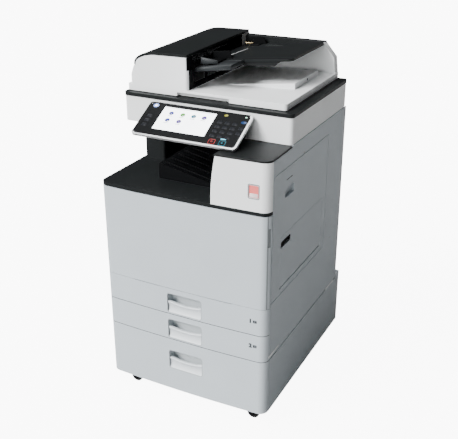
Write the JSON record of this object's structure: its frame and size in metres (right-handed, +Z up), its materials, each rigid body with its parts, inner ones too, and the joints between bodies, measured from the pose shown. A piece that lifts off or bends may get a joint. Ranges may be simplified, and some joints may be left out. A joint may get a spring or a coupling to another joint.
{
  "type": "photocopier",
  "caption": "Floor-standing photocopier with a document feeder, a flatbed scanner, a tilting touch panel, an in-body paper exit and pull-out paper drawers on casters.",
  "frame": {"origin": "middle of the footprint, at floor level under the wheels", "axes": "+Z up, front with the operation panel and drawers towards -Y, paper exit open to -X, side door towards +X"},
  "size_m": [0.587, 0.693, 1.1507],
  "materials": {
    "white_shell": "fine-textured ABS",
    "cool_shell": "fine-textured ABS",
    "dark_shell": "charcoal textured ABS",
    "black_plastic": "black moulded plastic",
    "gloss_black": "polished black panel",
    "sheet_steel": "zinc-coated sheet steel",
    "silver_bezel": "silver paint",
    "grey_plastic": "grey moulded plastic",
    "rubber_tyre": "grey-black rubber",
    "roller_rubber": "smooth roller rubber",
    "clear_glass": "clear float glass",
    "screen_glow": "lit touch screen",
    "red_key": "translucent red plastic",
    "teal_key": "translucent teal plastic",
    "switch_red": "glossy red plastic",
    "white_pad": "white vinyl-faced pad",
    "drum_green": "photoconductive coating",
    "circuit_green": "coated board and case",
    "screw_steel": "nickel-plated steel"
  },
  "bodies": {
    "chassis": {"main_frame": "sheet_steel", "cabinet_shell": "cool_shell", "left_cover": "cool_shell", "rear_cover": "cool_shell", "right_cover": "cool_shell", "top_deck": "dark_shell", "exit_tray": "black_plastic", "rear_column": "black_plastic", "module_cover": "white_shell", "module_shelf": "dark_shell", "scanner_housing": "white_shell", "scanner_rim": "dark_shell", "exposure_glass": "clear_glass", "lens_block": "black_plastic", "panel_arm": "dark_shell", "fuser_housing": "grey_plastic", "laser_unit": "black_plastic", "developer_unit": "grey_plastic", "drive_motor": "sheet_steel", "power_supply": "circuit_green", "power_inlet": "black_plastic", "rear_caster_forks": "black_plastic", "cover_screws": "screw_steel", "adf_hinges": "sheet_steel"},
    "drawer_1": {"tray_1": "cool_shell"},
    "drawer_2": {"tray_2": "cool_shell"},
    "drawer_3": {"tray_3": "cool_shell"},
    "cover": {"front_cover": "cool_shell"},
    "door": {"right_door": "cool_shell"},
    "bypass": {"bypass_tray": "cool_shell"},
    "document_cover": {"adf_base": "white_shell", "platen_pad": "white_pad", "adf_housing": "white_shell"},
    "feeder_cover": {"adf_top_cover": "dark_shell"},
    "original_tray": {"document_tray": "dark_shell"},
    "guide_front": {"front_guide": "black_plastic"},
    "guide_rear": {"rear_guide": "black_plastic"},
    "feeder_rollers": {"adf_feed_roller": "roller_rubber"},
    "panel": {"panel_body": "silver_bezel", "panel_glass": "gloss_black", "panel_screen": "screen_glow"},
    "stop_button": {"stop_key": "red_key"},
    "start_button": {"start_key": "teal_key"},
    "switch": {"power_switch": "switch_red"},
    "lamp": {"lamp_carriage": "grey_plastic"},
    "mirrors": {"mirror_carriage": "sheet_steel"},
    "drum_unit": {"drum": "drum_green"},
    "toner": {"toner_bottle": "black_plastic"},
    "fuser_hot": {"heat_roller": "roller_rubber"},
    "fuser_press": {"pressure_roller": "roller_rubber"},
    "fan": {"fan_rotor": "black_plastic"},
    "pickup_1": {"feed_roller_1": "roller_rubber"},
    "pickup_2": {"feed_roller_2": "roller_rubber"},
    "pickup_3": {"feed_roller_3": "roller_rubber"},
    "left_caster": {"left_caster_fork": "black_plastic"},
    "left_caster_wheel": {"left_front_wheel": "rubber_tyre"},
    "right_caster": {"right_caster_fork": "black_plastic"},
    "right_caster_wheel": {"right_front_wheel": "rubber_tyre"},
    "left_back_wheel": {"left_rear_wheel": "rubber_tyre"},
    "right_back_wheel": {"right_rear_wheel": "rubber_tyre"}
  },
  "joints": [
    {"name": "drawer_1_slide", "type": "slide", "parent": "chassis", "child": "drawer_1", "axis": [0, -1, 0], "range_m": [0, 0.4]},
    {"name": "drawer_2_slide", "type": "slide", "parent": "chassis", "child": "drawer_2", "axis": [0, -1, 0], "range_m": [0, 0.4]},
    {"name": "drawer_3_slide", "type": "slide", "parent": "chassis", "child": "drawer_3", "axis": [0, -1, 0], "range_m": [0, 0.4]},
    {"name": "front_cover_hinge", "type": "hinge", "parent": "chassis", "child": "cover", "pos_m": [0, -0.3405, 0.446], "axis": [1, 0, 0], "range_deg": [0, 88]},
    {"name": "right_door_hinge", "type": "hinge", "parent": "chassis", "child": "door", "pos_m": [0.288, 0.1295, 0.6575], "axis": [0, 0, 1], "range_deg": [0, 60]},
    {"name": "bypass_hinge", "type": "hinge", "parent": "door", "child": "bypass", "pos_m": [0.28775, -0.0725, 0.478], "axis": [0, 1, 0], "range_deg": [0, 80]},
    {"name": "document_cover_lift", "type": "hinge", "parent": "chassis", "child": "document_cover", "pos_m": [0, 0.3095, 1.028], "axis": [-1, 0, 0], "range_deg": [0, 60]},
    {"name": "feeder_cover_hinge", "type": "hinge", "parent": "document_cover", "child": "feeder_cover", "pos_m": [-0.2645, 0.0655, 1.098], "axis": [0, -1, 0], "range_deg": [0, 70]},
    {"name": "document_tray_hinge", "type": "hinge", "parent": "document_cover", "child": "original_tray", "pos_m": [-0.0585, 0.0615, 1.1045], "axis": [0, -1, 0], "range_deg": [0, 30]},
    {"name": "guide_slide", "type": "slide", "parent": "original_tray", "child": "guide_front", "axis": [0, 1, 0], "range_m": [0, 0.09]},
    {"name": "guide_rear_slide", "type": "slide", "parent": "original_tray", "child": "guide_rear", "axis": [0, -1, 0], "range_m": [0, 0.09]},
    {"name": "feeder_roller_spin", "type": "hinge", "parent": "document_cover", "child": "feeder_rollers", "pos_m": [-0.1475, 0.0615, 1.098], "axis": [0, 1, 0], "continuous": true},
    {"name": "panel_tilt", "type": "hinge", "parent": "chassis", "child": "panel", "pos_m": [-0.006, -0.20964, 0.96903], "axis": [-1, 0, 0], "range_deg": [0, 12]},
    {"name": "stop_press", "type": "slide", "parent": "panel", "child": "stop_button", "axis": [0, 0.4695, -0.8829], "range_m": [0, 0.0012], "stiffness_N_per_m": 300},
    {"name": "start_press", "type": "slide", "parent": "panel", "child": "start_button", "axis": [0, 0.4695, -0.8829], "range_m": [0, 0.0012], "stiffness_N_per_m": 300},
    {"name": "switch_press", "type": "slide", "parent": "chassis", "child": "switch", "axis": [0, 1, 0], "range_m": [0, 0.004], "stiffness_N_per_m": 300},
    {"name": "scan_travel", "type": "slide", "parent": "chassis", "child": "lamp", "axis": [1, 0, 0], "range_m": [0, 0.38]},
    {"name": "mirror_travel", "type": "slide", "parent": "chassis", "child": "mirrors", "axis": [1, 0, 0], "range_m": [0, 0.19]},
    {"name": "drum_spin", "type": "hinge", "parent": "chassis", "child": "drum_unit", "pos_m": [0.11, -0.0385, 0.58], "axis": [0, 1, 0], "continuous": true},
    {"name": "toner_spin", "type": "hinge", "parent": "chassis", "child": "toner", "pos_m": [-0.07, -0.0385, 0.686], "axis": [0, 1, 0], "continuous": true},
    {"name": "fuser_spin", "type": "hinge", "parent": "chassis", "child": "fuser_hot", "pos_m": [0.176, -0.0385, 0.67], "axis": [0, 1, 0], "continuous": true},
    {"name": "pressure_spin", "type": "hinge", "parent": "chassis", "child": "fuser_press", "pos_m": [0.218, -0.0385, 0.67], "axis": [0, 1, 0], "continuous": true},
    {"name": "fan_spin", "type": "hinge", "parent": "chassis", "child": "fan", "pos_m": [0.15, 0.2825, 0.508], "axis": [0, 1, 0], "continuous": true},
    {"name": "pickup_1_spin", "type": "hinge", "parent": "chassis", "child": "pickup_1", "pos_m": [0.21, -0.0385, 0.435], "axis": [0, 1, 0], "continuous": true},
    {"name": "pickup_2_spin", "type": "hinge", "parent": "chassis", "child": "pickup_2", "pos_m": [0.21, -0.0385, 0.3345], "axis": [0, 1, 0], "continuous": true},
    {"name": "pickup_3_spin", "type": "hinge", "parent": "chassis", "child": "pickup_3", "pos_m": [0.21, -0.0385, 0.232], "axis": [0, 1, 0], "continuous": true},
    {"name": "left_caster_swivel", "type": "hinge", "parent": "chassis", "child": "left_caster", "pos_m": [-0.2275, -0.2965, 0.048], "axis": [0, 0, 1], "continuous": true},
    {"name": "left_wheel_spin", "type": "hinge", "parent": "left_caster", "child": "left_caster_wheel", "pos_m": [-0.2185, -0.2965, 0.021], "axis": [0, 1, 0], "continuous": true},
    {"name": "right_caster_swivel", "type": "hinge", "parent": "chassis", "child": "right_caster", "pos_m": [0.2275, -0.2965, 0.048], "axis": [0, 0, 1], "continuous": true},
    {"name": "right_wheel_spin", "type": "hinge", "parent": "right_caster", "child": "right_caster_wheel", "pos_m": [0.2365, -0.2965, 0.021], "axis": [0, 1, 0], "continuous": true},
    {"name": "left_back_wheel_spin", "type": "hinge", "parent": "chassis", "child": "left_back_wheel", "pos_m": [-0.2185, 0.2865, 0.021], "axis": [0, 1, 0], "continuous": true},
    {"name": "right_back_wheel_spin", "type": "hinge", "parent": "chassis", "child": "right_back_wheel", "pos_m": [0.2365, 0.2865, 0.021], "axis": [0, 1, 0], "continuous": true}
  ],
  "couplings": [
    {"joint": "guide_rear_slide", "follows": "guide_slide", "ratio": 1},
    {"joint": "mirror_travel", "follows": "scan_travel", "ratio": 0.5},
    {"joint": "pressure_spin", "follows": "fuser_spin", "ratio": -1}
  ]
}
